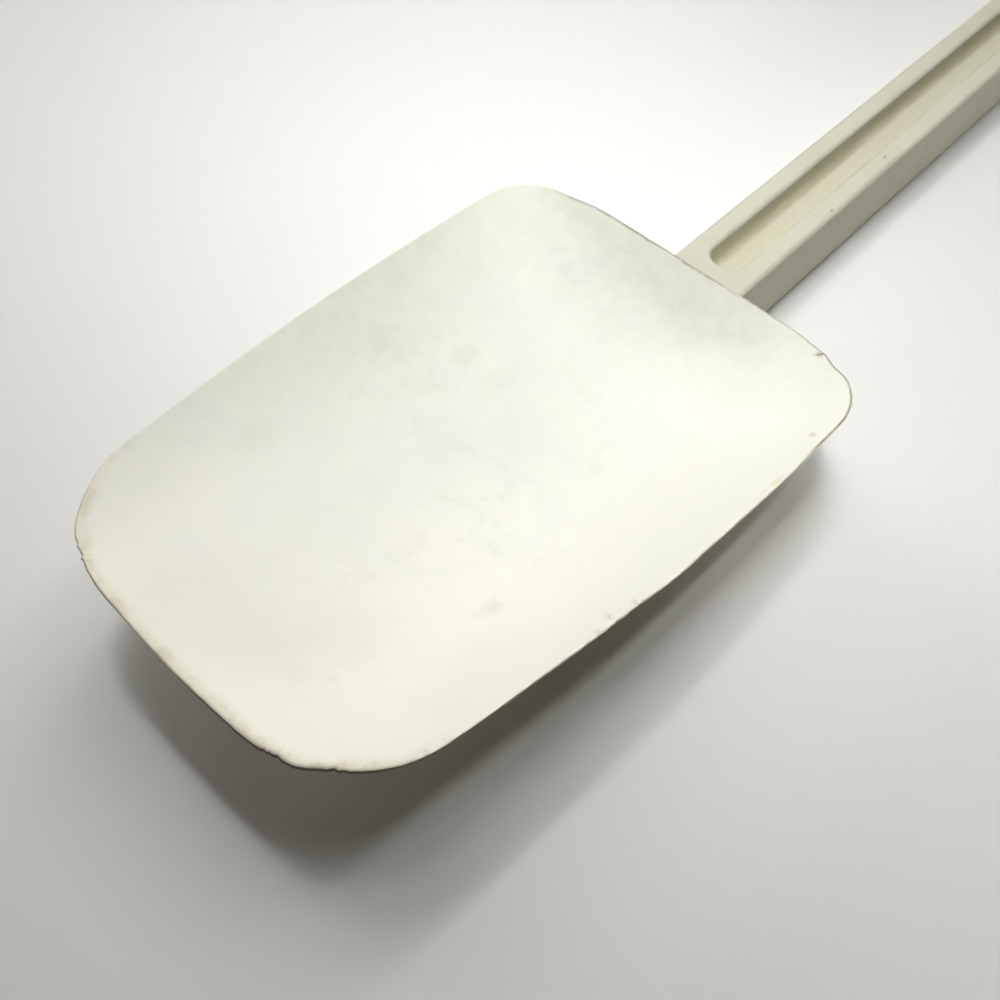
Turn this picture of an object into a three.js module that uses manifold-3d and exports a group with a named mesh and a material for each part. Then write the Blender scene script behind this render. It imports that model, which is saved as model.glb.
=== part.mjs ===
// Spoon-shaped heat-resistant spatula: a dished elastomer blade pushed onto the tang of a moulded handle.
// Millimetres, +Z up. X runs from the blade's tip towards the handle's end, Y across the blade.
// The tool lies with the handle's underside on Z = 0 and the hollow side of the blade facing up.

import * as THREE from "three";
import { mergeVertices } from "three/addons/utils/BufferGeometryUtils.js";
import Module from "manifold-3d";

const wasm = await Module();
wasm.setup();

// Overall sizes
const overallLength = 343;
const bladeLength = 114;
const bladeWidth = 74;
const handleWidth = 15;
const handleHeight = 15;

// Blade outline: four flat arcs joined by four corner arcs
const tipArcRadius = 890;
const rearArcRadius = 105;
const sideArcRadius = 500;
const widestFromTip = 94;
const tipCornerRadius = 19;
const rearCornerRadius = 14;

// Blade form: height of the rim over the table, hollow and thickness
const tipRimHeight = 27.6;
const rimSag = 1.6;
const sideRise = 4;
const bowlDepth = 6.5;
const bowlPower = 3;
const edgeThickness = 1;
const middleThickness = 4;

// Seat of the blade on the handle
const clearance = 0.3;
const lipOverlap = 1;
const lipGap = 0.4;
const tangLength = 40;
const tangRootWidth = 8.4;
const tangRootHeight = 6.4;
const tangTaper = 0.8;
const tangDrop = 0.6;
const tangCornerRadius = 1.2;
const tangNoseLength = 1;
const gripCount = 4;
const gripPitch = 7;
const gripDepth = 0.6;

// Spine under the blade that holds the socket
const spineFoot = 0.8;
const spineNoseLength = 46;
const spineRootHalfWidth = 13;
const spineNoseHalfWidth = 7;
const spineFlatShare = 0.4;
const spineRisePower = 3;
const spineSink = 0.4;
const socketEndClearance = 0.8;

// Handle details
const handleEdgeRadius = 1;
const shoulderCornerRadius = 2;
const channelHalfWidth = 3.5;
const channelDepth = 4.5;
const channelStartFromBlade = 5;
const channelEndMargin = 24;
const channelCornerRadius = 3;
const channelDraft = 0.4;
const channelFillet = 1.5;
const channelRimRadius = 0.7;
const hangHoleRadius = 4;
const hangHoleFromEnd = 9.5;
const hangHoleChamfer = 0.7;

// Facets
const arcDivisions = 7;
const filletSteps = 4;
const spineSteps = 9;
const spineStations = 12;
const holeFacets = 28;
const ringShares = [0.16, 0.32, 0.47, 0.6, 0.71, 0.8, 0.88, 0.95, 1];
const edgeAngles = [-Math.PI / 5, 0, Math.PI / 5];
const leastRadius = 0.2;
const weldDistance = 1e-4;
const cutThrough = 1;

// Places that follow from the sizes
const shoulderX = bladeLength - lipOverlap;
const mouthX = shoulderX - clearance;
const tangEndX = shoulderX - tangLength;
const tangCentreZ = handleHeight / 2 - tangDrop;
const spineNoseX = tangEndX - spineNoseLength;
const bowlCentreX = bladeLength / 2;
const rearRimHeight = handleHeight + lipGap + edgeThickness;

function solidFrom(geometry) {
  const bare = geometry.clone();
  bare.deleteAttribute("normal");
  bare.deleteAttribute("uv");
  const merged = mergeVertices(bare, weldDistance);
  const vertProperties = new Float32Array(merged.getAttribute("position").array);
  const triVerts = new Uint32Array(merged.getIndex().array);
  return new wasm.Manifold(new wasm.Mesh({ numProp: 3, vertProperties, triVerts }));
}

function geometryFrom(solid) {
  const { vertProperties, triVerts } = solid.getMesh();
  const geometry = new THREE.BufferGeometry();
  geometry.setAttribute("position", new THREE.BufferAttribute(vertProperties, 3));
  geometry.setIndex(new THREE.BufferAttribute(triVerts, 1));
  geometry.computeVertexNormals();
  return geometry;
}

// Joins closed rings of equal length into a skin, with a fan over the first and the last ring.
function loft(rings) {
  const count = rings[0].length;
  const points = rings.flat();
  const triangles = [];
  for (let row = 0; row + 1 < rings.length; row += 1) {
    for (let i = 0; i < count; i += 1) {
      const a = row * count + i;
      const b = row * count + ((i + 1) % count);
      triangles.push(a, b, b + count, a, b + count, a + count);
    }
  }
  const capRing = (row, facesBack) => {
    const hub = points.length;
    const centre = rings[row].reduce((sum, point) => sum.add(point), new THREE.Vector3());
    points.push(centre.divideScalar(count));
    for (let i = 0; i < count; i += 1) {
      const a = row * count + i;
      const b = row * count + ((i + 1) % count);
      triangles.push(...(facesBack ? [hub, b, a] : [hub, a, b]));
    }
  };
  capRing(0, true);
  capRing(rings.length - 1, false);
  const geometry = new THREE.BufferGeometry().setFromPoints(points);
  geometry.setIndex(triangles);
  return geometry;
}

// Rounded rectangle round the origin, as points of a plane.
function roundedRectangle(halfLength, halfWidth, radius) {
  const path = new THREE.Path();
  path.absarc(halfLength - radius, halfWidth - radius, radius, 0, Math.PI / 2);
  path.absarc(radius - halfLength, halfWidth - radius, radius, Math.PI / 2, Math.PI);
  path.absarc(radius - halfLength, radius - halfWidth, radius, Math.PI, 1.5 * Math.PI);
  path.absarc(halfLength - radius, radius - halfWidth, radius, 1.5 * Math.PI, 2 * Math.PI);
  return closedPoints(path);
}

function closedPoints(path) {
  const points = path.getPoints(arcDivisions);
  const closes = points[0].distanceTo(points[points.length - 1]) < weldDistance;
  return closes ? points.slice(0, -1) : points;
}

// Centre of the corner arc that runs tangent inside two larger arcs, on the +Y side.
function cornerCentre(firstCentre, firstRadius, secondCentre, secondRadius, cornerRadius, towards) {
  const near = firstRadius - cornerRadius;
  const far = secondRadius - cornerRadius;
  const apart = firstCentre.distanceTo(secondCentre);
  const along = (near * near - far * far + apart * apart) / (2 * apart);
  const across = Math.sqrt(near * near - along * along);
  const direction = secondCentre.clone().sub(firstCentre).divideScalar(apart);
  const normal = new THREE.Vector2(-direction.y, direction.x).multiplyScalar(towards);
  return firstCentre.clone().addScaledVector(direction, along).addScaledVector(normal, across);
}

function angleFrom(centre, point) {
  return Math.atan2(point.y - centre.y, point.x - centre.x);
}

// Plan outline of the blade, counter-clockwise from the rear edge.
function bladeOutline() {
  const tip = new THREE.Vector2(tipArcRadius, 0);
  const rear = new THREE.Vector2(bladeLength - rearArcRadius, 0);
  const side = new THREE.Vector2(widestFromTip, bladeWidth / 2 - sideArcRadius);
  const rearCorner = cornerCentre(rear, rearArcRadius, side, sideArcRadius, rearCornerRadius, 1);
  const tipCorner = cornerCentre(tip, tipArcRadius, side, sideArcRadius, tipCornerRadius, -1);
  const rearAngle = angleFrom(rear, rearCorner);
  const sideStart = angleFrom(side, rearCorner);
  const sideEnd = angleFrom(side, tipCorner);
  const tipAngle = angleFrom(tip, tipCorner);
  const path = new THREE.Path();
  path.absarc(rear.x, 0, rearArcRadius, -rearAngle, rearAngle);
  path.absarc(rearCorner.x, rearCorner.y, rearCornerRadius, rearAngle, sideStart);
  path.absarc(side.x, side.y, sideArcRadius, sideStart, sideEnd);
  path.absarc(tipCorner.x, tipCorner.y, tipCornerRadius, sideEnd, tipAngle);
  path.absarc(tip.x, 0, tipArcRadius, tipAngle, 2 * Math.PI - tipAngle);
  path.absarc(tipCorner.x, -tipCorner.y, tipCornerRadius, -tipAngle, -sideEnd);
  path.absarc(side.x, -side.y, sideArcRadius, -sideEnd, -sideStart);
  path.absarc(rearCorner.x, -rearCorner.y, rearCornerRadius, -sideStart, -rearAngle);
  return closedPoints(path);
}

const outline = bladeOutline();
const bowlCentre = new THREE.Vector2(bowlCentreX, 0);

// Moves an outline point towards the middle of the bowl.
function inset(point, distance) {
  const inward = bowlCentre.clone().sub(point).normalize();
  return point.clone().addScaledVector(inward, distance);
}

// Height of the rim surface: a straight rise to the tip, sagging in the middle and lifted at the sides.
function rimHeight(x, y) {
  const u = (x - bladeLength / 2) / (bladeLength / 2);
  const v = y / (bladeWidth / 2);
  const straight = (rearRimHeight + tipRimHeight) / 2 + ((rearRimHeight - tipRimHeight) / 2) * u;
  return straight - rimSag * (1 - u * u) + sideRise * v * v;
}

function topHeight(x, y, share) {
  return rimHeight(x, y) - bowlDepth * (1 - share ** bowlPower);
}

function thickness(share) {
  return edgeThickness + (middleThickness - edgeThickness) * (1 - share * share);
}

// Share of the way from the middle of the bowl to the rim at a point in plan.
function rimShare(x, y) {
  const ray = new THREE.Vector2(x, y).sub(bowlCentre);
  for (let i = 0; i < outline.length; i += 1) {
    const start = outline[i].clone().sub(bowlCentre);
    const step = outline[(i + 1) % outline.length].clone().sub(outline[i]);
    const cross = ray.cross(step);
    const along = start.cross(ray) / cross;
    const reach = start.cross(step) / cross;
    if (reach > 0 && along >= 0 && along <= 1) {
      return 1 / reach;
    }
  }
  return 0;
}

function undersideHeight(x, y) {
  const share = rimShare(x, y);
  return topHeight(x, y, share) - thickness(share);
}

// Dished sheet with a rounded edge, as rings from the middle of the underside round the rim to the top.
function bladeSheet() {
  const edgeRadius = edgeThickness / 2;
  const innerRim = outline.map((point) => inset(point, edgeRadius));
  const ringAt = (share, drop) => innerRim.map((rim) => {
    const plan = bowlCentre.clone().lerp(rim, share);
    return new THREE.Vector3(plan.x, plan.y, topHeight(plan.x, plan.y, share) - drop);
  });
  const roundRing = (angle) => outline.map((point) => {
    const plan = inset(point, edgeRadius * (1 - Math.cos(angle)));
    const height = topHeight(plan.x, plan.y, 1) - edgeRadius + edgeRadius * Math.sin(angle);
    return new THREE.Vector3(plan.x, plan.y, height);
  });
  const under = ringShares.map((share) => ringAt(share, thickness(share)));
  const round = edgeAngles.map(roundRing);
  const top = ringShares.toReversed().map((share) => ringAt(share, 0));
  return loft([...under, ...round, ...top]);
}

// Cross-section of the spine as a share of its depth: flat in the middle, running out at both sides.
function spineShape(share) {
  return 1 - THREE.MathUtils.smoothstep(share, spineFlatShare, 1);
}

// One ring of the spine, from the mouth of the socket (share 0) to its nose (share 1).
function spineRing(share) {
  const x = THREE.MathUtils.lerp(mouthX, spineNoseX, share);
  const halfWidth = THREE.MathUtils.lerp(spineRootHalfWidth, spineNoseHalfWidth, share);
  const sheet = thickness(rimShare(x, 0));
  const sink = spineSink * sheet;
  const noseSheet = thickness(rimShare(spineNoseX, 0));
  const noseHeight = undersideHeight(spineNoseX, 0) + (spineSink * noseSheet) / 2;
  const foot = THREE.MathUtils.lerp(spineFoot, noseHeight, share ** spineRisePower);
  const depth = undersideHeight(x, 0) - foot;
  const ring = [];
  for (let i = -spineSteps; i <= spineSteps; i += 1) {
    const across = i / spineSteps;
    const y = across * halfWidth;
    const drop = (depth + sink) * spineShape(Math.abs(across)) - sink;
    ring.push(new THREE.Vector3(x, y, undersideHeight(x, y) - drop));
  }
  ring.push(new THREE.Vector3(x, 0, undersideHeight(x, 0) + (sheet + sink) / 2));
  return ring;
}

// Tapered spine under the sheet, which holds the socket.
function spine() {
  const rings = [];
  for (let i = spineStations; i >= 0; i -= 1) {
    rings.push(spineRing(i / spineStations));
  }
  return loft(rings);
}

// Ring of the tang at a distance from the shoulder, grown by a margin all round.
function tangRing(distance, margin) {
  const narrowing = (tangTaper * distance) / tangLength;
  const halfHeight = tangRootHeight / 2 - narrowing + margin;
  const halfWidth = tangRootWidth / 2 - narrowing + margin;
  const radius = Math.max(tangCornerRadius + margin, leastRadius);
  return roundedRectangle(halfHeight, halfWidth, radius)
    .map((point) => new THREE.Vector3(shoulderX - distance, point.y, tangCentreZ + point.x));
}

// Tang with saw-toothed grip ridges and a blunt nose, rooted inside the handle.
function tang() {
  const rings = [tangRing(-shoulderCornerRadius - cutThrough, 0)];
  const firstGrip = tangLength - tangNoseLength - gripCount * gripPitch;
  for (let i = 0; i < gripCount; i += 1) {
    const start = firstGrip + i * gripPitch;
    rings.push(tangRing(start, 0), tangRing(start + gripDepth / 2, -gripDepth));
  }
  rings.push(tangRing(tangLength - tangNoseLength, 0), tangRing(tangLength, -tangNoseLength));
  return loft(rings);
}

function socketCut() {
  const end = tangLength + socketEndClearance;
  return loft([tangRing(-cutThrough, clearance), tangRing(end, clearance)]);
}

// Slot outline at one height, drawn in by a distance on every side.
function channelRing(drawIn, z) {
  const start = bladeLength + channelStartFromBlade + drawIn;
  const end = overallLength - channelEndMargin - drawIn;
  const radius = channelCornerRadius - drawIn;
  const middle = (start + end) / 2;
  return roundedRectangle((end - start) / 2, channelHalfWidth - drawIn, radius)
    .map((point) => new THREE.Vector3(middle + point.x, point.y, z));
}

// Long recess with a rounded rim, drafted walls and a fillet round its floor, cut from the top face.
function channelCut() {
  const floor = handleHeight - channelDepth;
  const rings = [];
  for (let i = 0; i <= filletSteps; i += 1) {
    const angle = (Math.PI / 2) * (i / filletSteps);
    const drawIn = channelDraft + channelFillet * (1 - Math.sin(angle));
    rings.push(channelRing(drawIn, floor + channelFillet * (1 - Math.cos(angle))));
  }
  for (let i = 0; i <= filletSteps; i += 1) {
    const angle = (Math.PI / 2) * (i / filletSteps);
    const drawIn = -channelRimRadius * (1 - Math.cos(angle));
    rings.push(channelRing(drawIn, handleHeight - channelRimRadius * (1 - Math.sin(angle))));
  }
  rings.push(channelRing(-channelRimRadius, handleHeight + cutThrough));
  return loft(rings);
}

// Through hole with chamfered mouths for hanging the tool.
function hangHoleCut() {
  const wide = hangHoleRadius + hangHoleChamfer + cutThrough;
  const profile = new THREE.Path();
  profile.moveTo(0, -cutThrough);
  profile.lineTo(wide, -cutThrough);
  profile.lineTo(hangHoleRadius, hangHoleChamfer);
  profile.lineTo(hangHoleRadius, handleHeight - hangHoleChamfer);
  profile.lineTo(wide, handleHeight + cutThrough);
  profile.lineTo(0, handleHeight + cutThrough);
  const cutter = new THREE.LatheGeometry(profile.getPoints(), holeFacets);
  cutter.rotateX(Math.PI / 2);
  cutter.translate(overallLength - hangHoleFromEnd, 0, 0);
  return cutter;
}

// Straight bar with rounded long edges, a square shoulder and a full-round end.
function handleBar() {
  const half = handleWidth / 2;
  const endCentre = overallLength - half;
  const cornerX = shoulderX + shoulderCornerRadius;
  const cornerY = half - shoulderCornerRadius;
  const plan = new THREE.Shape();
  plan.absarc(endCentre, 0, half, -Math.PI / 2, Math.PI / 2);
  plan.absarc(cornerX, cornerY, shoulderCornerRadius, Math.PI / 2, Math.PI);
  plan.absarc(cornerX, -cornerY, shoulderCornerRadius, Math.PI, 1.5 * Math.PI);
  const bar = new THREE.ExtrudeGeometry(plan, {
    depth: handleHeight - 2 * handleEdgeRadius,
    bevelThickness: handleEdgeRadius,
    bevelSize: handleEdgeRadius,
    bevelOffset: -handleEdgeRadius,
    bevelSegments: filletSteps,
    curveSegments: 2 * arcDivisions,
  });
  return bar.translate(0, 0, handleEdgeRadius);
}

function handle() {
  const upper = channelCut();
  const lower = channelCut().rotateX(Math.PI).translate(0, 0, handleHeight);
  return solidFrom(handleBar())
    .add(solidFrom(tang()))
    .subtract(solidFrom(upper))
    .subtract(solidFrom(lower))
    .subtract(solidFrom(hangHoleCut()));
}

function blade() {
  return solidFrom(bladeSheet()).add(solidFrom(spine())).subtract(solidFrom(socketCut()));
}

function piece(name, solid, colour, roughness) {
  const material = new THREE.MeshStandardMaterial({ color: colour, roughness, metalness: 0 });
  const mesh = new THREE.Mesh(geometryFrom(solid), material);
  mesh.name = name;
  return mesh;
}

const spatula = new THREE.Group();
spatula.add(piece("handle", handle(), 0xdcdcc6, 0.45));
spatula.add(piece("blade", blade(), 0xf0f1e4, 0.6));
spatula.position.x = -overallLength / 2;

export default spatula;
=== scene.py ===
"""Looks of a spoon-shaped heat-resistant spatula: a worn elastomer blade on a moulded handle."""

import math

import bpy
import numpy as np
from mathutils import Matrix, Vector, noise


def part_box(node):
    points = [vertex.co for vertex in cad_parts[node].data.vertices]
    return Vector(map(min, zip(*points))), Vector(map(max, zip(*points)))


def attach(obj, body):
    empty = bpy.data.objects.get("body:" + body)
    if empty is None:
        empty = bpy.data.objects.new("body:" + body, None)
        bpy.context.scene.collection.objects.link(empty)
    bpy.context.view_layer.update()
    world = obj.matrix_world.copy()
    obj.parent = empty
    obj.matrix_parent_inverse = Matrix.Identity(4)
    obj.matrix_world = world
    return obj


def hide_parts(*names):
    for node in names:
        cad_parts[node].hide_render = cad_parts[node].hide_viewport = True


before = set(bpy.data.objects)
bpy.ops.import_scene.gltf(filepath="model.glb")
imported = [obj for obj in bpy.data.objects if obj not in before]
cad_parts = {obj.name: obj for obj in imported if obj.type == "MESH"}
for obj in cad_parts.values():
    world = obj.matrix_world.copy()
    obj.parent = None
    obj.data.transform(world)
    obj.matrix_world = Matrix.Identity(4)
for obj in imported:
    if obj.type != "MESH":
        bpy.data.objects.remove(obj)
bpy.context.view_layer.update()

# Sizes that the frame gives, in millimetres from the blade's tip
MM = 0.001
BLADE_LOW, BLADE_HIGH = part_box("blade")
HANDLE_LOW, HANDLE_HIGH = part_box("handle")
TIP_X = BLADE_LOW[0] / MM
BLADE_LENGTH = (BLADE_HIGH[0] - BLADE_LOW[0]) / MM
OVERALL_LENGTH = (HANDLE_HIGH[0] - BLADE_LOW[0]) / MM
HANDLE_WIDTH = (HANDLE_HIGH[1] - HANDLE_LOW[1]) / MM
HANDLE_HEIGHT = (HANDLE_HIGH[2] - HANDLE_LOW[2]) / MM
TANG_END = (HANDLE_LOW[0] - BLADE_LOW[0]) / MM

# Blade outline and form, in millimetres
BLADE_WIDTH = 74.0
TIP_ARC = 890.0
REAR_ARC = 105.0
SIDE_ARC = 500.0
WIDEST_FROM_TIP = 94.0
TIP_CORNER = 19.0
REAR_CORNER = 14.0
TIP_RIM_HEIGHT = 27.6
RIM_SAG = 1.6
SIDE_RISE = 4.0
BOWL_DEPTH = 6.5
BOWL_POWER = 3.0
EDGE_THICKNESS = 1.0
WORN_EDGE = 0.6
MIDDLE_THICKNESS = 4.0
LIP_GAP = 0.4
REAR_RIM_HEIGHT = HANDLE_HEIGHT + LIP_GAP + EDGE_THICKNESS

# Seat of the blade on the handle
CLEARANCE = 0.3
LIP_OVERLAP = 1.0
SHOULDER_X = BLADE_LENGTH - LIP_OVERLAP
MOUTH_X = SHOULDER_X - CLEARANCE
TANG_LENGTH = SHOULDER_X - TANG_END
TANG_ROOT_WIDTH = 8.4
TANG_ROOT_HEIGHT = 6.4
TANG_TAPER = 0.8
TANG_CORNER = 1.2
TANG_LEAST_CORNER = 0.2
TANG_DROP = 0.6
TANG_CENTRE_Z = HANDLE_HEIGHT / 2 - TANG_DROP
TANG_NOSE = 1.0
GRIP_COUNT = 4
GRIP_PITCH = 7.0
GRIP_DEPTH = 0.6
SOCKET_END = 0.8

# Spine under the blade
SPINE_FOOT = 0.8
SPINE_PAST_TANG = 46.0
SPINE_NOSE_X = TANG_END - SPINE_PAST_TANG
SPINE_ROOT_HALF = 13.0
SPINE_NOSE_HALF = 7.0
SPINE_FLAT = 0.4
SPINE_RISE = 3.0
SPINE_SINK = 0.4

# Handle details
HANDLE_EDGE = 1.0
SHOULDER_CORNER = 2.0
CHANNEL_HALF = 3.3
CHANNEL_DEPTH = 4.5
CHANNEL_FROM_BLADE = 5.0
CHANNEL_FROM_END = 24.0
CHANNEL_START = BLADE_LENGTH + CHANNEL_FROM_BLADE
CHANNEL_END = OVERALL_LENGTH - CHANNEL_FROM_END
CHANNEL_CORNER = 3.0
CHANNEL_DRAFT = 0.2
CHANNEL_CURVE_ACROSS = 1.9
CHANNEL_CURVE_UP = 5.8
CHANNEL_CURVE_TURN = math.radians(60)
CHANNEL_RIM = 1.0
HOLE_RADIUS = 4.0
HOLE_FROM_END = 9.5
HOLE_X = OVERALL_LENGTH - HOLE_FROM_END
HOLE_ROUND = 0.7

# Steps of the meshes, and how far a cutter reaches past a face
CUT_PAST = 1.0
OUTLINE_STEP = 0.2
SHEET_RINGS = 28
FIRST_SHARE = 0.03
RING_CROWDING = 1.6
EDGE_TURN_POINTS = 9
BALL_RINGS = 12
BALL_POINTS = 24
CUT_RINGS = 14
CUT_RUN_OUT = 0.02
CUT_LIFT = 0.4
SPINE_RINGS = 45
SPINE_POINTS = 41
QUARTER_STEPS = 8
CURVE_POINTS = 12
ROUND_POINTS = 6
HOLE_POINTS = 64
SIDE_POINTS = 48
END_POINTS = 33
CORNER_POINTS = 9
CREASE_ANGLE = 40

# Slow waves of the soft edge: place, reach along the edge, distance outward
EDGE_WAVES = (
    ((112.1, -19.7), 3.5, 0.35),
    ((114.0, 0.0), 9.0, -0.32),
    ((111.7, 21.5), 6.0, 0.32),
    ((110.2, 28.0), 3.0, -0.45),
    ((45.0, 34.6), 22.0, 0.18),
    ((3.2, 22.4), 4.5, 0.45),
    ((0.2, 14.0), 5.5, -0.15),
    ((0.0, -3.0), 11.0, 0.25),
    ((2.0, -20.3), 1.8, 0.30),
    ((5.4, -25.4), 3.0, -0.05),
    ((11.0, -29.3), 6.0, 0.28),
    ((20.0, -31.5), 8.0, 0.32),
    ((42.0, -34.3), 8.0, 0.20),
    ((55.5, -35.5), 6.0, 0.45),
    ((66.0, -36.2), 6.0, 0.20),
    ((80.0, -36.8), 8.0, 0.25),
    ((98.0, -37.0), 6.0, 0.10),
    ((109.3, -29.8), 2.2, -0.70),
)

# Torn stretches of the edge: place, reach, depth of the teeth, teeth for each millimetre
FINE_WEAR = 0.05
FINE_GRAIN = 0.7
FINER_TEETH = 0.4
FINER_GRAIN = 2.3
TORN_EDGES = (
    ((2.0, 20.5), 2.4, 0.55, 0.9),
    ((0.9, -17.4), 1.6, 0.45, 1.5),
    ((4.2, -24.0), 2.6, 0.40, 1.1),
    ((44.0, -34.5), 7.0, 0.30, 1.2),
    ((113.2, -10.5), 2.4, -0.50, 1.1),
    ((112.8, 14.0), 9.0, 0.20, 0.7),
)
WEAR_FADE = 0.97

# Stretches where the edge is thicker: place, reach, added thickness
THICK_EDGES = (
    ((3.0, -19.0), 14.0, 0.7),
)

# Small dents: place, radius of the ball that made them, depth
BLADE_DENTS = (
    ((13.9, -13.5), 1.3, 0.07),
    ((36.6, -19.2), 1.2, 0.04),
)
HANDLE_NICKS = (
    ((168.5, -5.3), 0.5, 0.12),
    ((146.7, -6.5), 0.6, 0.15),
)

# Cuts in the blade: centre of the curve, its radius, first and last angle, width and depth
BLADE_CUTS = (
    ((111.3, -24.8), 1.9, 184, 262, 0.34, 0.5),
    ((92.4, -34.6), 0.7, -80, 50, 0.22, 0.25),
    ((40.0, -33.0), 1.2, -70, -20, 0.14, 0.25),
    ((43.2, -32.6), 1.0, -80, 0, 0.14, 0.25),
    ((47.3, -33.6), 1.0, -80, -20, 0.14, 0.25),
)

# Areas of the blade in plan: place and radii. The first is painted light, a brighter patch that lifts the
# blade's shading near the tip.
PAINTED_LIGHT_AREA = ((22, -17), (52, 24))
USED_AREA = ((66, 10), (58, 38))

# Stains on the blade: place, radii and strength
OLIVE_STAINS = (
    ((60.1, 26.4), (3.5, 2.0), 0.20),
    ((61.5, 16.6), (4.0, 3.0), 0.16),
    ((70.7, 17.5), (4.0, 2.5), 0.20),
    ((71.5, 10.4), (6.0, 2.5), 0.15),
    ((32.6, 24.0), (4.0, 3.0), 0.15),
    ((36.6, -19.2), (3.0, 1.6), 0.25),
    ((108.1, 29.3), (4.0, 5.0), 0.25),
)
PEACH_STAINS = (
    ((11.6, -3.9), (9, 8), 0.34),
    ((19.8, -9.8), (10, 7), 0.34),
    ((8.0, 8.0), (9, 12), 0.15),
    ((26.0, -26.0), (12, 6), 0.2),
)
RUST_STAINS = (
    ((80.2, -36.4), (2.2, 0.7), 0.40),
    ((76.0, -36.2), (3.5, 0.6), 0.22),
)

# Dirt in the cuts: its radius, and its strength for each millimetre of a cut's width
CUT_DIRT_RADIUS = 0.8
CUT_DIRT_STRENGTH = 1.2

# Greyed areas of the blade, grey staining together with painted shade along the rear edge beside the handle
# and along the left wall: place, radii, raggedness and strength
GREY_STAINS_AND_PAINTED_SHADE = (
    ((116.0, 4.0), (28.0, 42.0), 0.15, 0.66),
    ((82.0, 20.0), (46.0, 34.0), 0.10, 0.20),
    ((110.5, 7.0), (10.0, 23.0), 0.3, 0.62),
    ((106.2, -7.1), (8.0, 12.0), 0.6, 0.22),
    ((110.0, 24.0), (4.0, 9.0), 0.8, 0.25),
    ((54.0, 39.0), (50.0, 24.0), 0.08, 0.36),
    ((9.0, 26.0), (13.0, 9.0), 0.4, 0.14),
)

# Colours of the blade, in linear light
CREAM = (0.714, 0.718, 0.628)
COOL_CREAM = (0.698, 0.701, 0.632)
# Painted light: a brighter cream that lifts the shading near the tip
PAINTED_LIGHT_CREAM = (0.81, 0.81, 0.715)
LAVENDER = (0.656, 0.647, 0.643)
SMUDGE = (0.572, 0.578, 0.473)
OLIVE = (0.51, 0.52, 0.40)
PEACH = (0.735, 0.665, 0.571)
# Grey of the stains, also used as painted shade
GREY_STAIN_AND_SHADE = (0.457, 0.462, 0.395)
YELLOWED = (0.65, 0.604, 0.48)
SMEAR = (0.42, 0.375, 0.27)
RUST = (0.55, 0.43, 0.24)
CUT_DIRT = (0.22, 0.19, 0.13)
RIM_DIRT = (0.22, 0.195, 0.135)
RIM_SIDE = (0.46, 0.43, 0.34)
DARK_SIDE = (0.13, 0.09, 0.05)
# Underside painted darker and warmer than the cream, which darkens and warms the shadow under the blade
UNDERSIDE_DARKENED_FOR_SHADOW = (0.52, 0.48, 0.33)

# Colours of the handle and the table, in linear light
OFF_WHITE = (0.468, 0.468, 0.374)
WARM_WHITE = (0.455, 0.442, 0.353)
CHANNEL_FLOOR = (0.45, 0.434, 0.323)
# Painted light: the channels' walls are lighter than their floor, to brighten their shading
CHANNEL_WALL_PAINTED_LIGHT = (0.525, 0.505, 0.365)
HANDLED = (0.45, 0.417, 0.34)
NICK_DIRT = (0.22, 0.20, 0.15)
SEAM_DIRT = (0.30, 0.28, 0.21)
TABLE_COLOUR = (0.68, 0.68, 0.66)

# Dirt at the seam with the blade: where it is full and where it ends, behind the shoulder
SEAM_FULL = 0.3
SEAM_END = 2.5

# Pattern of the materials: layer with the distance from the edge, noise, soft border of a stain
EDGE_LAYER = "edge_mm"
NOISE_ROUGHNESS = 0.6
STAIN_OUTER = 1.15
STAIN_INNER = 0.2

# Lights under the ceiling: name, place along and across, width, length, watts, aim along, spread in degrees
CEILING = 600
OPEN_SPREAD = 180
CEILING_LIGHTS = (
    ("overhead", 68, 25, 170, 40, 0.0467, 113, 26),
    ("left_pool", 68, 90, 90, 40, 0.0455, 170, 45),
    ("left_tube", 290, 160, 30, 480, 0.86, 290, OPEN_SPREAD),
    ("left_panel", 290, 135, 90, 480, 0.65, 290, OPEN_SPREAD),
    ("left_front", 68, 210, 200, 40, 0.30, 68, OPEN_SPREAD),
    ("front", 68, 45, 40, 40, 0.21, 68, OPEN_SPREAD),
    ("right_tube", 290, -129, 30, 480, 0.92, 290, OPEN_SPREAD),
)

# Lights farther off, which all face one point: name, place, width, height, watts, colour
FAR_AIM = (100, 0, 0)
WHITE_LIGHT = (1.0, 1.0, 1.0)
WARM_LIGHT = (1.0, 0.96, 0.86)
FAR_LIGHTS = (
    ("handle_end", (2350, 398, 1018), 800, 700, 12.7, WARM_LIGHT),
    ("left_side", (420, 2278, 978), 800, 700, 11.6, WARM_LIGHT),
    ("high_left", (300, 1500, 1800), 800, 700, 4.4, WHITE_LIGHT),
    ("low_right", (1788, -1810, 140), 1000, 200, 14.5, WARM_LIGHT),
)
ROOM_COLOUR = (1.0, 0.98, 0.94)
ROOM_STRENGTH = 0.016

# Table: half its size, and how far it lies below the tool
TABLE_HALF = 1500.0
TABLE_DROP = 0.1

# Photograph's camera, from a fit to the blade's outline and the handle's edges
CAMERA_AZIMUTH = -52.63
CAMERA_ELEVATION = 55.12
CAMERA_ROLL = 6.005
CAMERA_TARGET = (61.16, -0.26, 0.0)
CAMERA_DISTANCE = 179.24
CAMERA_LENS = 38.64
SENSOR = 36.0
CAMERA_CLIP = 10.0


def arc(centre, radius, start, end):
    """Points along an arc, without its last point, about one outline step apart."""
    count = max(3, round(abs(end - start) * radius / OUTLINE_STEP))
    angles = np.linspace(start, end, count, endpoint=False)
    return np.c_[centre[0] + radius * np.cos(angles), centre[1] + radius * np.sin(angles)]


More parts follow.
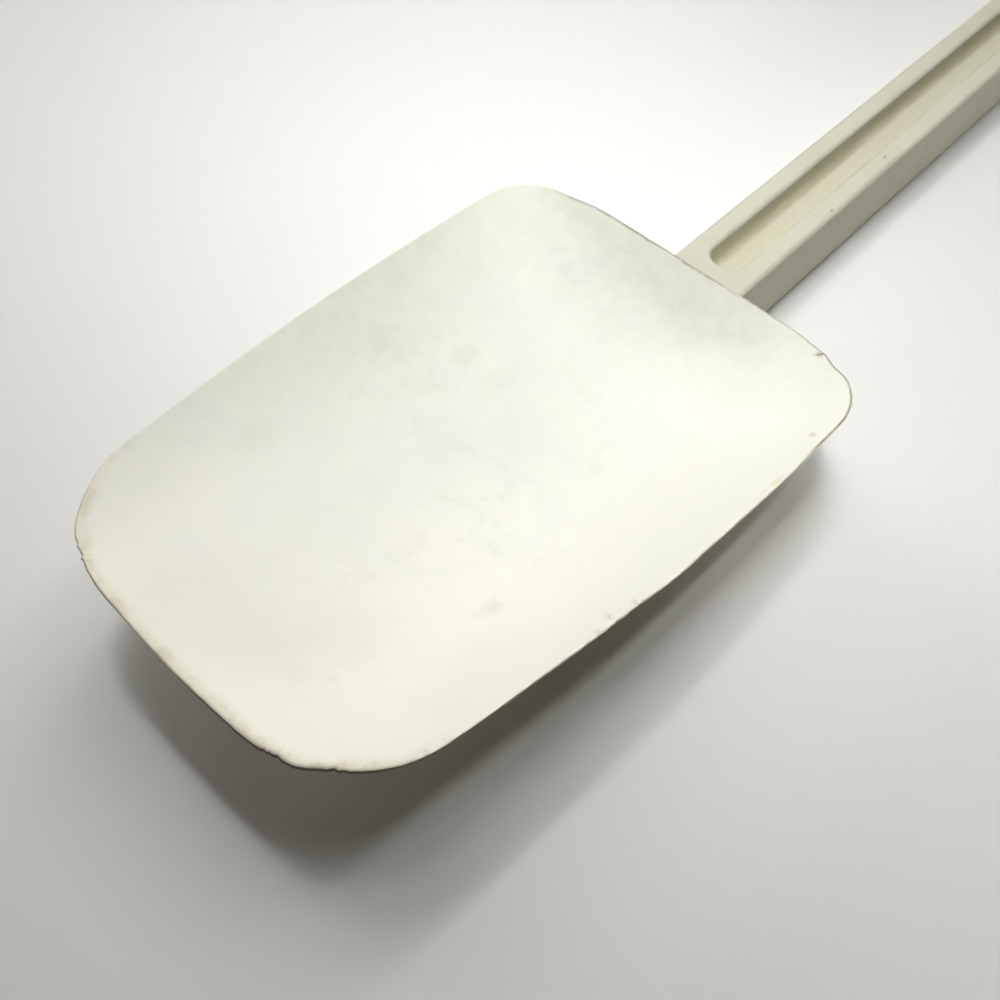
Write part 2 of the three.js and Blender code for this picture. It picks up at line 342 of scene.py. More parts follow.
def corner_centre(first, first_radius, second, second_radius, corner, towards):
    """Centre of the corner arc that runs tangent inside two larger arcs."""
    near = first_radius - corner
    far = second_radius - corner
    gap = second - first
    apart = np.hypot(*gap)
    along = (near * near - far * far + apart * apart) / (2 * apart)
    across = math.sqrt(near * near - along * along)
    ahead = gap / apart
    normal = np.array([-ahead[1], ahead[0]]) * towards
    return first + ahead * along + normal * across


def angle_from(centre, point):
    return math.atan2(point[1] - centre[1], point[0] - centre[0])


def blade_outline():
    """Plan outline of the blade, counter-clockwise from the rear edge."""
    tip = np.array([TIP_ARC, 0.0])
    rear = np.array([BLADE_LENGTH - REAR_ARC, 0.0])
    side = np.array([WIDEST_FROM_TIP, BLADE_WIDTH / 2 - SIDE_ARC])
    rear_corner = corner_centre(rear, REAR_ARC, side, SIDE_ARC, REAR_CORNER, 1)
    tip_corner = corner_centre(tip, TIP_ARC, side, SIDE_ARC, TIP_CORNER, -1)
    rear_angle = angle_from(rear, rear_corner)
    side_start = angle_from(side, rear_corner)
    side_end = angle_from(side, tip_corner)
    tip_angle = angle_from(tip, tip_corner)
    flip = np.array([1.0, -1.0])
    return np.vstack([
        arc(rear, REAR_ARC, -rear_angle, rear_angle),
        arc(rear_corner, REAR_CORNER, rear_angle, side_start),
        arc(side, SIDE_ARC, side_start, side_end),
        arc(tip_corner, TIP_CORNER, side_end, tip_angle),
        arc(tip, TIP_ARC, tip_angle, 2 * math.pi - tip_angle),
        arc(tip_corner * flip, TIP_CORNER, -tip_angle, -side_end),
        arc(side * flip, SIDE_ARC, -side_end, -side_start),
        arc(rear_corner * flip, REAR_CORNER, -side_start, -rear_angle),
    ])


OUTLINE = blade_outline()
BOWL_CENTRE = np.array([BLADE_LENGTH / 2, 0.0])


def inset(points, distance):
    """Outline points moved towards the middle of the bowl."""
    inward = BOWL_CENTRE - points
    inward = inward / np.linalg.norm(inward, axis=1, keepdims=True)
    return points + inward * np.reshape(distance, (-1, 1))


def rim_height(x, y):
    u = (x - BLADE_LENGTH / 2) / (BLADE_LENGTH / 2)
    v = y / (BLADE_WIDTH / 2)
    middle = (REAR_RIM_HEIGHT + TIP_RIM_HEIGHT) / 2
    slope = (REAR_RIM_HEIGHT - TIP_RIM_HEIGHT) / 2
    return middle + slope * u - RIM_SAG * (1 - u * u) + SIDE_RISE * v * v


def top_height(x, y, share):
    return rim_height(x, y) - BOWL_DEPTH * (1 - share ** BOWL_POWER)


def thickness(share, edge=WORN_EDGE):
    return edge + (MIDDLE_THICKNESS - edge) * (1 - share * share)


def rim_share(x, y):
    """Share of the way from the middle of the bowl to the rim at a point in plan."""
    spokes = OUTLINE - BOWL_CENTRE
    reach = np.hypot(spokes[:, 0], spokes[:, 1])
    angles = np.unwrap(np.arctan2(spokes[:, 1], spokes[:, 0]))
    ray = np.array([x, y]) - BOWL_CENTRE
    angle = (math.atan2(ray[1], ray[0]) - angles[0]) % (2 * math.pi) + angles[0]
    ring_angles = np.append(angles, angles[0] + 2 * math.pi)
    ring_reach = np.append(reach, reach[0])
    return float(np.hypot(*ray) / np.interp(angle, ring_angles, ring_reach))


def underside_height(x, y):
    share = rim_share(x, y)
    return top_height(x, y, share) - thickness(share)


def loft_mesh(name, rings):
    """Closed mesh through rings of equal length, in tool millimetres, with a flat face on each end."""
    rings = [np.asarray(ring, float) for ring in rings]
    count = len(rings[0])
    points = np.vstack(rings)
    points[:, 0] += TIP_X
    faces = []
    for row in range(len(rings) - 1):
        for i in range(count):
            a = row * count + i
            b = row * count + (i + 1) % count
            faces.append((a, b, b + count, a + count))
    last = (len(rings) - 1) * count
    faces.append(tuple(reversed(range(count))))
    faces.append(tuple(range(last, last + count)))
    mesh = bpy.data.meshes.new(name)
    mesh.from_pydata((points * MM).tolist(), [], faces)
    mesh.validate()
    return mesh


def add_object(name, data):
    piece = bpy.data.objects.new(name, data)
    bpy.context.scene.collection.objects.link(piece)
    return piece


def apply_modifiers(piece):
    """Replaces the piece's mesh by its evaluated one and drops the modifiers."""
    graph = bpy.context.evaluated_depsgraph_get()
    mesh = bpy.data.meshes.new_from_object(piece.evaluated_get(graph))
    piece.modifiers.clear()
    piece.data = mesh


def cut_and_join(piece, joins, cuts):
    """Exact booleans with helper meshes, which are deleted afterwards."""
    helpers = []
    for operation, meshes in (("UNION", joins), ("DIFFERENCE", cuts)):
        for mesh in meshes:
            helper = add_object(mesh.name, mesh)
            helpers.append(helper)
            step = piece.modifiers.new(operation, "BOOLEAN")
            step.operation = operation
            step.solver = "EXACT"
            step.object = helper
    apply_modifiers(piece)
    for helper in helpers:
        bpy.data.objects.remove(helper)


def smooth_shade(piece):
    """Smooth faces, with edges sharper than the crease angle left crisp."""
    for polygon in piece.data.polygons:
        polygon.use_smooth = True
    piece.data.set_sharp_from_angle(angle=math.radians(CREASE_ANGLE))


def edge_wear():
    """How far the worn edge lies inside the moulded outline, point by point."""
    wear = np.zeros(len(OUTLINE))
    for i, (x, y) in enumerate(OUTLINE):
        place = Vector((x, y, 0))
        wear[i] = FINE_WEAR * noise.noise(place * FINE_GRAIN)
        for (wave_x, wave_y), reach, outward in EDGE_WAVES:
            away = math.hypot(x - wave_x, y - wave_y) / reach
            wear[i] -= outward * math.exp(-away * away)
        for (zone_x, zone_y), reach, depth, grain in TORN_EDGES:
            away = math.hypot(x - zone_x, y - zone_y) / reach
            teeth = abs(noise.noise(place * grain))
            teeth += FINER_TEETH * abs(noise.noise(place * grain * FINER_GRAIN))
            wear[i] += depth * math.exp(-away * away) * teeth
    return wear


EDGE_WEAR = edge_wear()


def edge_thickness():
    """Thickness of the worn edge, point by point along the outline."""
    thick = np.full(len(OUTLINE), WORN_EDGE)
    for place, reach, added in THICK_EDGES:
        away = np.hypot(OUTLINE[:, 0] - place[0], OUTLINE[:, 1] - place[1]) / reach
        thick += added * np.exp(-away * away)
    return thick


def blade_sheet():
    """Dished sheet, as rings from the middle of the underside round the worn rim to the top."""
    thick = edge_thickness()
    edge = thick / 2
    shares = 1 - (1 - np.linspace(FIRST_SHARE, 1, SHEET_RINGS)) ** RING_CROWDING

    def ring(share, drop):
        plan = BOWL_CENTRE + (inset(OUTLINE, edge) - BOWL_CENTRE) * share
        fade = np.clip((share - WEAR_FADE) / (1 - WEAR_FADE), 0, 1)
        plan = inset(plan, EDGE_WEAR * fade)
        height = top_height(plan[:, 0], plan[:, 1], share) - drop
        return np.c_[plan, height]

    def round_ring(angle):
        plan = inset(OUTLINE, edge * (1 - math.cos(angle)) + EDGE_WEAR)
        height = top_height(plan[:, 0], plan[:, 1], 1.0) - edge + edge * math.sin(angle)
        return np.c_[plan, height]

    under = [ring(share, thickness(share, thick)) for share in shares]
    turn = [round_ring(angle) for angle in np.linspace(-math.pi / 2, math.pi / 2, EDGE_TURN_POINTS)[1:-1]]
    top = [ring(share, 0.0) for share in shares[::-1]]
    return loft_mesh("blade", under + turn + top)


def dent_mesh(x, y, z, radius, depth):
    """Ball that leaves a shallow dent in a face at height z."""
    rings = []
    turn = np.linspace(0, 2 * math.pi, BALL_POINTS, endpoint=False)
    for angle in np.linspace(-math.pi / 2, math.pi / 2, BALL_RINGS)[1:-1]:
        out = radius * math.cos(angle)
        height = z + radius - depth + radius * math.sin(angle)
        rings.append(np.c_[x + out * np.cos(turn), y + out * np.sin(turn), np.full(BALL_POINTS, height)])
    return loft_mesh("dent", rings)


def blade_top(x, y):
    return float(top_height(x, y, rim_share(x, y)))


def cut_mesh(centre, radius, first, last, width, depth):
    """Short curved slit that runs out to nothing at both ends."""
    rings = []
    for turn in np.linspace(CUT_RUN_OUT, 1 - CUT_RUN_OUT, CUT_RINGS):
        angle = math.radians(last + (first - last) * turn)
        half = width / 2 * math.sin(math.pi * turn)
        ring = []
        for out, lift in ((half, CUT_LIFT), (-half, CUT_LIFT), (0, -depth)):
            x = centre[0] + (radius + out) * math.cos(angle)
            y = centre[1] + (radius + out) * math.sin(angle)
            ring.append((x, y, blade_top(x, y) + lift))
        rings.append(ring)
    return loft_mesh("cut", rings)


def spine_ring(share):
    """One ring of the spine, from the mouth of the socket (share 0) to its nose (share 1)."""
    x = MOUTH_X + (SPINE_NOSE_X - MOUTH_X) * share
    half_width = SPINE_ROOT_HALF + (SPINE_NOSE_HALF - SPINE_ROOT_HALF) * share
    sheet = thickness(rim_share(x, 0))
    sink = SPINE_SINK * sheet
    nose_sink = SPINE_SINK * thickness(rim_share(SPINE_NOSE_X, 0)) / 2
    nose_height = underside_height(SPINE_NOSE_X, 0) + nose_sink
    foot = SPINE_FOOT + (nose_height - SPINE_FOOT) * share ** SPINE_RISE
    depth = underside_height(x, 0) - foot
    ring = []
    for across in np.linspace(-1, 1, SPINE_POINTS):
        fade = min(max((abs(across) - SPINE_FLAT) / (1 - SPINE_FLAT), 0), 1)
        shape = 1 - fade * fade * (3 - 2 * fade)
        y = across * half_width
        drop = (depth + sink) * shape - sink
        ring.append((x, y, underside_height(x, y) - drop))
    ring.append((x, 0, underside_height(x, 0) + (sheet + sink) / 2))
    return ring


def rounded_rectangle(half_length, half_width, radius):
    """Rounded rectangle round the origin, counter-clockwise."""
    points = []
    for quarter, (sx, sy) in enumerate(((1, 1), (-1, 1), (-1, -1), (1, -1))):
        for step in range(QUARTER_STEPS + 1):
            angle = (quarter + step / QUARTER_STEPS) * math.pi / 2
            x = sx * (half_length - radius) + radius * math.cos(angle)
            y = sy * (half_width - radius) + radius * math.sin(angle)
            points.append((x, y))
    return np.array(points)


def tang_ring(distance, margin):
    """Ring of the tang at a distance from the shoulder, grown by a margin all round."""
    narrowing = TANG_TAPER * distance / TANG_LENGTH
    section = rounded_rectangle(
        TANG_ROOT_HEIGHT / 2 - narrowing + margin,
        TANG_ROOT_WIDTH / 2 - narrowing + margin,
        max(TANG_CORNER + margin, TANG_LEAST_CORNER),
    )
    x = np.full(len(section), SHOULDER_X - distance)
    return np.c_[x, section[:, 1], TANG_CENTRE_Z + section[:, 0]]


def tang_mesh():
    rings = [tang_ring(-SHOULDER_CORNER - CUT_PAST, 0)]
    first_grip = TANG_LENGTH - TANG_NOSE - GRIP_COUNT * GRIP_PITCH
    for i in range(GRIP_COUNT):
        start = first_grip + i * GRIP_PITCH
        rings += [tang_ring(start, 0), tang_ring(start + GRIP_DEPTH / 2, -GRIP_DEPTH)]
    rings += [tang_ring(TANG_LENGTH - TANG_NOSE, 0), tang_ring(TANG_LENGTH, -TANG_NOSE)]
    return loft_mesh("tang", rings)


def socket_mesh():
    end = TANG_LENGTH + SOCKET_END
    return loft_mesh("socket", [tang_ring(-CUT_PAST, CLEARANCE), tang_ring(end, CLEARANCE)])


def channel_mesh(upper):
    """Long recess with a rounded rim and drafted walls that curve into its floor."""
    floor = HANDLE_HEIGHT - CHANNEL_DEPTH
    levels = []
    for angle in np.linspace(0, CHANNEL_CURVE_TURN, CURVE_POINTS):
        across = CHANNEL_CURVE_ACROSS * (math.sin(CHANNEL_CURVE_TURN) - math.sin(angle))
        levels.append((CHANNEL_DRAFT + across, floor + CHANNEL_CURVE_UP * (1 - math.cos(angle))))
    for angle in np.linspace(0, math.pi / 2, ROUND_POINTS):
        draw_in = -CHANNEL_RIM * (1 - math.cos(angle))
        levels.append((draw_in, HANDLE_HEIGHT - CHANNEL_RIM * (1 - math.sin(angle))))
    levels.append((-CHANNEL_RIM, HANDLE_HEIGHT + CUT_PAST))
    middle = (CHANNEL_START + CHANNEL_END) / 2
    rings = []
    for draw_in, z in levels:
        plan = rounded_rectangle(
            (CHANNEL_END - CHANNEL_START) / 2 - draw_in,
            CHANNEL_HALF - draw_in,
            CHANNEL_CORNER - draw_in,
        )
        ring = np.c_[middle + plan[:, 0], plan[:, 1], np.full(len(plan), z)]
        if not upper:
            ring[:, 1] = -ring[:, 1]
            ring[:, 2] = HANDLE_HEIGHT - ring[:, 2]
        rings.append(ring)
    return loft_mesh("channel", rings)


def hole_mesh():
    """Through hole with rounded mouths."""
    levels = [(HOLE_RADIUS + HOLE_ROUND, -CUT_PAST)]
    for angle in np.linspace(0, math.pi / 2, ROUND_POINTS):
        radius = HOLE_RADIUS + HOLE_ROUND * (1 - math.sin(angle))
        levels.append((radius, HOLE_ROUND * (1 - math.cos(angle))))
    levels += [(radius, HANDLE_HEIGHT - z) for radius, z in reversed(levels)]
    angles = np.linspace(0, 2 * math.pi, HOLE_POINTS, endpoint=False)
    rings = []
    for radius, z in levels:
        x = HOLE_X + radius * np.cos(angles)
        rings.append(np.c_[x, radius * np.sin(angles), np.full(HOLE_POINTS, z)])
    return loft_mesh("hole", rings)


def handle_bar():
    """Straight bar with rounded long edges, a square shoulder and a full-round end."""
    half = HANDLE_WIDTH / 2

    def plan(draw_in):
        end_radius = half - draw_in
        corner = SHOULDER_CORNER - draw_in
        corner_x = SHOULDER_X + SHOULDER_CORNER
        corner_y = half - SHOULDER_CORNER
        end_x = OVERALL_LENGTH - half
        straight = np.linspace(end_x, corner_x, SIDE_POINTS)[1:-1]
        points = []
        for angle in np.linspace(-math.pi / 2, math.pi / 2, END_POINTS):
            points.append((end_x + end_radius * math.cos(angle), end_radius * math.sin(angle)))
        points += [(x, end_radius) for x in straight]
        for angle in np.linspace(math.pi / 2, math.pi, CORNER_POINTS):
            points.append((corner_x + corner * math.cos(angle), corner_y + corner * math.sin(angle)))
        for angle in np.linspace(math.pi, 1.5 * math.pi, CORNER_POINTS):
            points.append((corner_x + corner * math.cos(angle), -corner_y + corner * math.sin(angle)))
        points += [(x, -end_radius) for x in straight[::-1]]
        return np.array(points)

    levels = []
    for angle in np.linspace(0, math.pi / 2, CORNER_POINTS):
        levels.append((HANDLE_EDGE * (1 - math.sin(angle)), HANDLE_EDGE * (1 - math.cos(angle))))
    levels += [(draw_in, HANDLE_HEIGHT - z) for draw_in, z in reversed(levels)]
    rings = []
    for draw_in, z in levels:
        points = plan(draw_in)
        rings.append(np.c_[points, np.full(len(points), z)])
    return loft_mesh("handle", rings)


def mark_edge_distance(piece):
    """Keeps each point's distance from the worn edge, in millimetres, for the dirt on the rim."""
    count = len(piece.data.vertices)
    points = np.zeros(count * 3)
    piece.data.vertices.foreach_get("co", points)
    plan = points.reshape(-1, 3)[:, :2] / MM - (TIP_X, 0)
    ray = plan - BOWL_CENTRE
    angle = np.arctan2(ray[:, 1], ray[:, 0])
    spokes = OUTLINE - BOWL_CENTRE
    order = np.argsort(np.arctan2(spokes[:, 1], spokes[:, 0]))
    spoke_angle = np.arctan2(spokes[:, 1], spokes[:, 0])[order]
    reach = np.hypot(spokes[:, 0], spokes[:, 1])[order]
    worn = reach - EDGE_WEAR[order]
    distance = np.interp(angle, spoke_angle, worn, period=2 * math.pi) - np.hypot(ray[:, 0], ray[:, 1])
    layer = piece.data.attributes.new(EDGE_LAYER, "FLOAT", "POINT")
    layer.data.foreach_set("value", distance.astype(np.float32))


def make_blade():
    piece = add_object("scraper_blade", blade_sheet())
    spine = loft_mesh("spine", [spine_ring(share) for share in np.linspace(1, 0, SPINE_RINGS)])
    cuts = [socket_mesh()] + [cut_mesh(*cut) for cut in BLADE_CUTS]
    for (x, y), radius, depth in BLADE_DENTS:
        cuts.append(dent_mesh(x, y, blade_top(x, y), radius, depth))
    cut_and_join(piece, [spine], cuts)
    smooth_shade(piece)
    mark_edge_distance(piece)
    return piece


def make_handle():
    piece = add_object("moulded_handle", handle_bar())
    cuts = [channel_mesh(True), channel_mesh(False), hole_mesh()]
    for (x, y), radius, depth in HANDLE_NICKS:
        cuts.append(dent_mesh(x, y, HANDLE_HEIGHT, radius, depth))
    cut_and_join(piece, [tang_mesh()], cuts)
    smooth_shade(piece)
    weigh = piece.modifiers.new("weigh", "WEIGHTED_NORMAL")
    weigh.keep_sharp = True
    return piece


class Look:
    """Builder for one procedural material, with its pattern laid out in tool millimetres."""

    def __init__(self, name, roughness, specular):
        self.material = bpy.data.materials.new(name)
        self.material.use_nodes = True
        self.tree = self.material.node_tree
        self.surface = self.tree.nodes["Principled BSDF"]
        self.surface.inputs["Roughness"].default_value = roughness
        self.surface.inputs["Specular IOR Level"].default_value = specular
        self.noises = {}
        metres = self.add("ShaderNodeTexCoord").outputs["Object"]
        millimetres = self.vector("MULTIPLY", metres, (1 / MM, 1 / MM, 1 / MM))
        self.place = self.vector("SUBTRACT", millimetres, (TIP_X, 0, 0))
        self.x, self.y, self.z = self.split(self.place)
        self.facing = self.split(self.add("ShaderNodeNewGeometry").outputs["Normal"])[2]

    def add(self, kind, **settings):
        node = self.tree.nodes.new(kind)
        for key, value in settings.items():
            setattr(node, key, value)
        return node

    def feed(self, socket, value):
        """Links a socket to another, or sets it to a constant."""
        if isinstance(value, bpy.types.NodeSocket):
            self.tree.links.new(value, socket)
        else:
            socket.default_value = value

    def math(self, operation, first, second=0.0):
        node = self.add("ShaderNodeMath", operation=operation)
        self.feed(node.inputs[0], first)
        self.feed(node.inputs[1], second)
        return node.outputs[0]

    def vector(self, operation, first, second):
        node = self.add("ShaderNodeVectorMath", operation=operation)
        self.feed(node.inputs[0], first)
        self.feed(node.inputs[1], second)
        return node.outputs["Value" if operation == "LENGTH" else "Vector"]

    def split(self, value):
        """The three parts of a vector."""
        node = self.add("ShaderNodeSeparateXYZ")
        self.feed(node.inputs[0], value)
        return node.outputs

    def times(self, *masks):
        """Product of several masks or numbers."""
        product = masks[0]
        for mask in masks[1:]:
            product = self.math("MULTIPLY", product, mask)
        return product

    def most(self, *masks):
        """Largest of several masks."""
        largest = masks[0]
        for mask in masks[1:]:
            largest = self.math("MAXIMUM", largest, mask)
        return largest

    def between(self, mask, low, high):
        """Mask stretched to run from low to high."""
        return self.math("ADD", self.math("MULTIPLY", mask, high - low), low)

    def ramp(self, value, start, end):
        """Smooth step from 0 at start to 1 at end; start may be the higher."""
        node = self.add("ShaderNodeMapRange", interpolation_type="SMOOTHSTEP")
        self.feed(node.inputs["Value"], value)
        node.inputs["From Min"].default_value = min(start, end)
        node.inputs["From Max"].default_value = max(start, end)
        node.inputs["To Min"].default_value = 0.0 if start < end else 1.0
        node.inputs["To Max"].default_value = 1.0 if start < end else 0.0
        return node.outputs["Result"]

    def noise(self, size, detail=3.0, shift=0.0):
        """Noise from 0 to 1 with blotches about size millimetres wide, made once for each kind."""
        kind = (size, detail, shift)
        if kind not in self.noises:
            node = self.add("ShaderNodeTexNoise")
            self.feed(node.inputs["Vector"], self.vector("ADD", self.place, (shift, shift, 0)))
            node.inputs["Scale"].default_value = 1 / size
            node.inputs["Detail"].default_value = detail
            node.inputs["Roughness"].default_value = NOISE_ROUGHNESS
            self.noises[kind] = node.outputs["Fac"]
        return self.noises[kind]

    def blotches(self, size, start, end, detail=3.0, shift=0.0):
        """Mask of soft blotches, where the noise passes from start to end."""
        return self.ramp(self.noise(size, detail, shift), start, end)

    def spot(self, centre, radii, ragged, size):
        """Soft elliptical mask in plan, with its edge broken up by noise of the given size."""
        offset = self.vector("SUBTRACT", self.place, (*centre, 0))
        flat = self.vector("MULTIPLY", offset, (1 / radii[0], 1 / radii[1], 0))
        away = self.vector("LENGTH", flat, (0, 0, 0))
        swing = self.math("MULTIPLY", self.math("SUBTRACT", self.noise(size), 0.5), 2 * ragged)
        return self.ramp(self.math("ADD", away, swing), STAIN_OUTER, STAIN_INNER)

    def blend(self, colour, other, mask, strength=1.0):
        """Mixes another colour in where the mask is 1."""
        node = self.add("ShaderNodeMix", data_type="RGBA")
        self.feed(node.inputs["Factor"], self.math("MULTIPLY", mask, strength))
        for name, value in (("A", colour), ("B", other)):
            socket = [s for s in node.inputs if s.name == name and s.type == "RGBA"][0]
            self.feed(socket, value if isinstance(value, bpy.types.NodeSocket) else (*value, 1))
        return [s for s in node.outputs if s.type == "RGBA"][0]

    def stain(self, colour, tint, stains, ragged, size):
        """Mixes a tint in at each stain of a list."""
        for centre, radii, strength in stains:
            colour = self.blend(colour, tint, self.spot(centre, radii, ragged, size), strength)
        return colour

    def finish(self, colour, relief, depth):
        """Sets the colour, and a fine relief of the given depth in millimetres."""
        self.feed(self.surface.inputs["Base Color"], colour)
        bump = self.add("ShaderNodeBump")
        bump.inputs["Distance"].default_value = depth * MM
        self.feed(bump.inputs["Height"], relief)
        self.feed(self.surface.inputs["Normal"], bump.outputs["Normal"])
        return self.material


def used_cream(look):
    """Colour of the blade's faces: cream, mottled and stained by use, with painted light near the tip, and
    grey stains with painted shade beside the handle and along the left wall.
    """
    colour = look.blend(CREAM, COOL_CREAM, look.blotches(26, 0.4, 0.65))
    # Painted light: a brighter patch near the tip stands in for light its shading lacks
    colour = look.blend(colour, PAINTED_LIGHT_CREAM, look.spot(*PAINTED_LIGHT_AREA, ragged=0.15, size=20), 0.9)
    used = look.spot(*USED_AREA, ragged=0.3, size=18)
    lavender = look.times(used, look.blotches(15, 0.46, 0.62, shift=40))
    colour = look.blend(colour, LAVENDER, lavender, 0.4)
    smudge = look.times(
        used,
        look.blotches(4, 0.5, 0.68, detail=7, shift=70),
        look.blotches(19, 0.4, 0.6, detail=2, shift=12),
    )
    colour = look.blend(colour, SMUDGE, smudge, 0.4)
    colour = look.stain(colour, OLIVE, OLIVE_STAINS, ragged=1.0, size=1.8)
    colour = look.stain(colour, PEACH, PEACH_STAINS, ragged=0.8, size=7)
    mottle = look.between(look.blotches(2.6, 0.3, 0.7, detail=6, shift=33), 0.85, 1.15)
    # Grey staining, with painted shade along the rear edge beside the handle and along the left wall
    for centre, radii, ragged, strength in GREY_STAINS_AND_PAINTED_SHADE:
        grey = look.times(look.spot(centre, radii, ragged, size=9), mottle)
        colour = look.blend(colour, GREY_STAIN_AND_SHADE, grey, strength)
    return colour


def tip_wear(look, colour, edge):
    """Adds the yellowed, smeared strip along the tip, the rust on the right side and dirt in the cuts."""
    strip = look.times(look.ramp(edge, 2.0, 0.3), look.ramp(look.x, 18, 8))
    colour = look.blend(colour, YELLOWED, strip, 0.8)
    smear = look.times(
        look.ramp(edge, 2.6, 0.2),
        look.blotches(2.6, 0.45, 0.62, detail=4, shift=9),
        look.ramp(look.x, 22, 10),
    )
    colour = look.blend(colour, SMEAR, smear, 0.38)
    colour = look.stain(colour, RUST, RUST_STAINS, ragged=0.7, size=1.4)
    for (x, y), radius, first, last, width, _ in BLADE_CUTS:
        turn = math.radians((first + last) / 2)
        middle = (x + radius * math.cos(turn), y + radius * math.sin(turn))
        dirt = look.spot(middle, (CUT_DIRT_RADIUS, CUT_DIRT_RADIUS), ragged=0.7, size=1.2)
        colour = look.blend(colour, CUT_DIRT, dirt, CUT_DIRT_STRENGTH * width)
    return colour


def dirt_line(look, edge):
    """Mask of the thin, patchy line of dirt along the rim."""
    rear_left = look.times(look.ramp(look.x, 107, 111), look.ramp(look.y, -12, -2))
    rear_right = look.times(look.ramp(look.x, 104, 110), look.ramp(look.y, -2, -12), 0.6)
    tip_left = look.times(look.ramp(look.x, 34, 16), look.ramp(look.y, 2, 16), 0.7)
    left = look.times(look.ramp(look.y, 26, 32), look.noise(7, detail=2, shift=51), 0.4)
    right = look.times(look.ramp(look.x, 86, 92), look.ramp(look.y, -15, -25))
    broad = look.times(rear_left, look.blotches(5, 0.35, 0.55, detail=2, shift=3))
    line = look.most(
        look.times(look.ramp(edge, 0.65, 0.3), look.most(rear_left, rear_right)),
        look.times(look.ramp(edge, 0.32, 0.1), look.most(tip_left, left)),
        look.times(look.ramp(edge, 0.6, 0.25), right),
        look.times(look.ramp(edge, 0.9, 0.4), broad),
    )
    return look.times(line, look.between(look.blotches(2.2, 0.28, 0.55, detail=4, shift=21), 0.4, 1.0))


def rim_side(look, colour, edge):
    """Adds the darker side of the rim, brown at the near corner of the tip, and an underside painted darker
    and warmer so that the shadow beneath the blade is darker and warmer.
    """
    side = look.times(look.ramp(look.facing, 0.45, 0.1), look.ramp(edge, 0.6, 0.4))
    colour = look.blend(colour, RIM_SIDE, side, 0.8)
    low_corner = look.times(look.ramp(look.x, 40, 22), look.ramp(look.y, 2, -8))
    dark_side = look.times(look.ramp(look.facing, 0.85, 0.6), look.ramp(edge, 0.7, 0.4), low_corner)
    colour = look.blend(colour, DARK_SIDE, dark_side, 0.95)
    # Painted shade: the underside is darkened and warmed to darken and warm the blade's shadow on the table
    below = look.times(look.ramp(look.facing, 0.0, -0.4), look.ramp(edge, 0.3, 0.7))
    return look.blend(colour, UNDERSIDE_DARKENED_FOR_SHADOW, below, 0.8)


def elastomer():
    """Cream elastomer, stained by use and with a dirty rim, with painted light near the tip, painted shade
    beside the handle and along the left wall, and an underside darkened to darken the shadow beneath it.
    """
    look = Look("elastomer", roughness=0.55, specular=0.35)
    edge = look.add("ShaderNodeAttribute", attribute_name=EDGE_LAYER).outputs["Fac"]
    colour = tip_wear(look, used_cream(look), edge)
    colour = look.blend(colour, RIM_DIRT, dirt_line(look, edge), 0.9)
    colour = rim_side(look, colour, edge)
    relief = look.math("ADD", look.noise(0.7, detail=4), look.times(look.noise(6, detail=2, shift=5), 1.5))
    return look.finish(colour, relief, depth=0.02)


def plastic():
    """Off-white moulded plastic: a satin skin, yellowed in the channels, with the channel walls painted
    lighter as painted light, greyed by handling.
    """
    look = Look("plastic", roughness=0.6, specular=0.2)
    colour = look.blend(OFF_WHITE, WARM_WHITE, look.blotches(14, 0.42, 0.66))
    middle = HANDLE_HEIGHT / 2
    from_middle = look.math("ABSOLUTE", look.math("SUBTRACT", look.z, middle))
    below_land = look.math("SUBTRACT", middle, from_middle)
    from_axis = look.math("ABSOLUTE", look.y)
    between_lands = look.ramp(from_axis, CHANNEL_HALF + 0.7, CHANNEL_HALF - 0.3)
    inside = look.times(look.ramp(below_land, 0.6, 2.2), between_lands)
    colour = look.blend(colour, CHANNEL_FLOOR, inside, 0.8)
    # Painted light: upright faces inside the channels are lightened to brighten their shading
    upright = look.ramp(look.math("ABSOLUTE", look.facing), 0.8, 0.4)
    colour = look.blend(colour, CHANNEL_WALL_PAINTED_LIGHT, look.times(inside, upright), 0.9)
    worn = look.times(look.noise(5, shift=31), look.noise(1.5, detail=2, shift=11))
    colour = look.blend(colour, HANDLED, look.ramp(worn, 0.26, 0.4), 0.4)
    for centre, radius, _ in HANDLE_NICKS:
        nick = look.spot(centre, (radius, 0.6 * radius), ragged=0.4, size=0.8)
        colour = look.blend(colour, NICK_DIRT, nick, 0.85)
    seam = look.ramp(look.x, SHOULDER_X + SEAM_END, SHOULDER_X + SEAM_FULL)
    colour = look.blend(colour, SEAM_DIRT, look.times(seam, look.noise(2, shift=17)), 0.7)
    return look.finish(colour, look.noise(0.5), depth=0.012)


def table():
    look = Look("table", roughness=0.9, specular=0.1)
    look.surface.inputs["Base Color"].default_value = (*TABLE_COLOUR, 1)
    return look.material


def axes_matrix(across, up, back, place):
    """Matrix that turns an object's axes to three directions, at a place in tool millimetres."""
    origin = (Vector(place) + Vector((TIP_X, 0, 0))) * MM
    return Matrix((
        (across.x, up.x, back.x, origin.x),
        (across.y, up.y, back.y, origin.y),
        (across.z, up.z, back.z, origin.z),
        (0, 0, 0, 1),
    ))


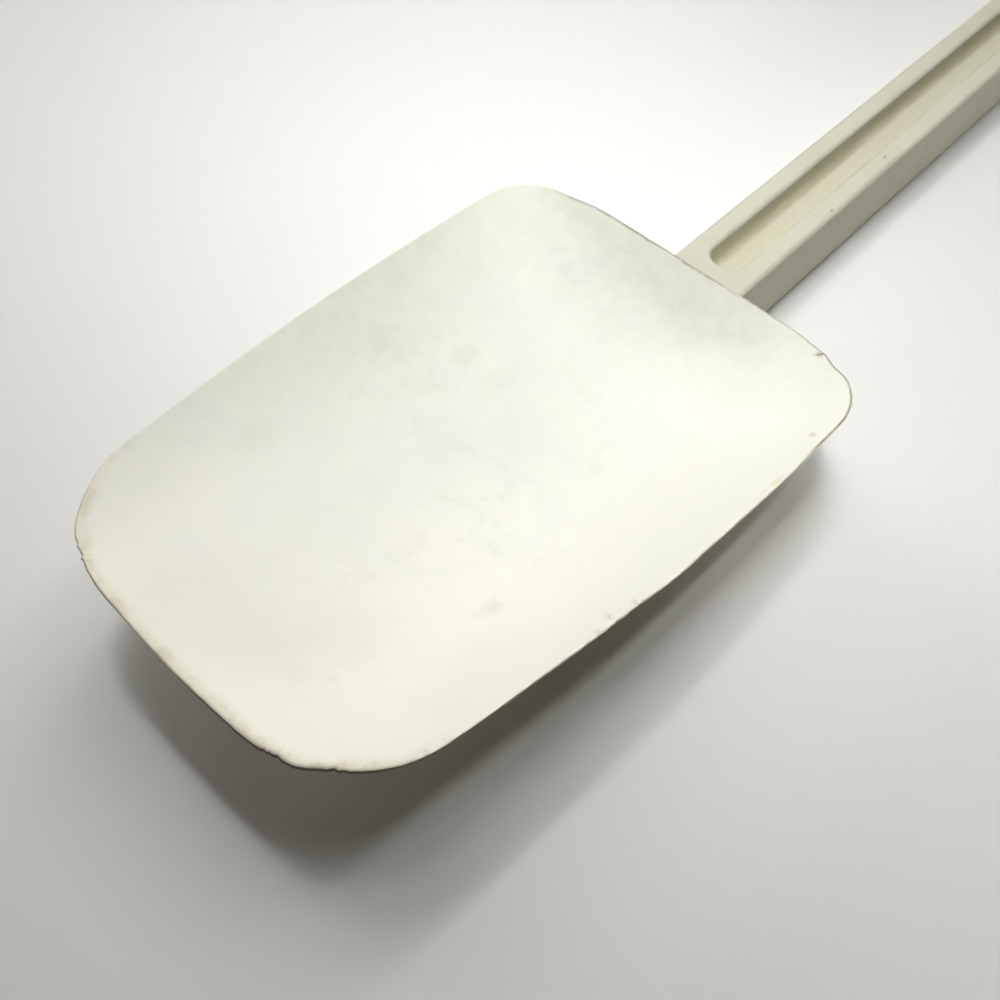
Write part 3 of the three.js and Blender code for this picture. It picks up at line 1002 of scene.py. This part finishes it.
def make_camera():
    azimuth = math.radians(CAMERA_AZIMUTH)
    elevation = math.radians(CAMERA_ELEVATION)
    roll = math.radians(CAMERA_ROLL)
    back = Vector((
        math.sin(azimuth) * math.cos(elevation),
        -math.cos(azimuth) * math.cos(elevation),
        math.sin(elevation),
    ))
    level = Vector((math.cos(azimuth), math.sin(azimuth), 0))
    upright = level.cross(-back)
    right = level * math.cos(roll) + upright * math.sin(roll)
    up = upright * math.cos(roll) - level * math.sin(roll)
    data = bpy.data.cameras.new("camera")
    data.lens = CAMERA_LENS
    data.sensor_width = SENSOR
    data.clip_start = CAMERA_CLIP * MM
    camera = add_object("camera", data)
    camera.matrix_world = axes_matrix(right, up, back, Vector(CAMERA_TARGET) + back * CAMERA_DISTANCE)
    bpy.context.scene.camera = camera


def area_light(name, place, aim, width, height, watts, spread, colour):
    """Soft rectangular light at a place in tool millimetres, with its width level."""
    data = bpy.data.lights.new(name, "AREA")
    data.shape = "RECTANGLE"
    data.size = width * MM
    data.size_y = height * MM
    data.energy = watts
    data.spread = math.radians(spread)
    data.color = colour
    towards = (Vector(aim) - Vector(place)).normalized()
    level = Vector((0, 1, 0))
    across = (level - towards * level.dot(towards)).normalized()
    add_object(name, data).matrix_world = axes_matrix(across, across.cross(towards), -towards, place)


def make_light():
    for name, x, y, width, length, watts, aim_x, spread in CEILING_LIGHTS:
        area_light(name, (x, y, CEILING), (aim_x, y, 0), width, length, watts, spread, WHITE_LIGHT)
    for name, place, width, height, watts, colour in FAR_LIGHTS:
        area_light(name, place, FAR_AIM, width, height, watts, OPEN_SPREAD, colour)
    world = bpy.data.worlds.new("room")
    world.use_nodes = True
    background = world.node_tree.nodes["Background"]
    background.inputs["Color"].default_value = (*ROOM_COLOUR, 1)
    background.inputs["Strength"].default_value = ROOM_STRENGTH
    bpy.context.scene.world = world


def make_floor():
    half = TABLE_HALF * MM
    corners = [(x * half, y * half, 0) for x, y in ((-1, -1), (1, -1), (1, 1), (-1, 1))]
    mesh = bpy.data.meshes.new("floor")
    mesh.from_pydata(corners, [], [(0, 1, 2, 3)])
    floor = add_object("floor", mesh)
    floor.location.z = -TABLE_DROP * MM
    mesh.materials.append(table())


make_camera()
make_light()
make_floor()

blade = make_blade()
blade.data.materials.append(elastomer())
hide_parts("blade")
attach(blade, "blade")

handle = make_handle()
handle.data.materials.append(plastic())
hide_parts("handle")
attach(handle, "handle")

bpy.context.scene.view_settings.view_transform = "Standard"
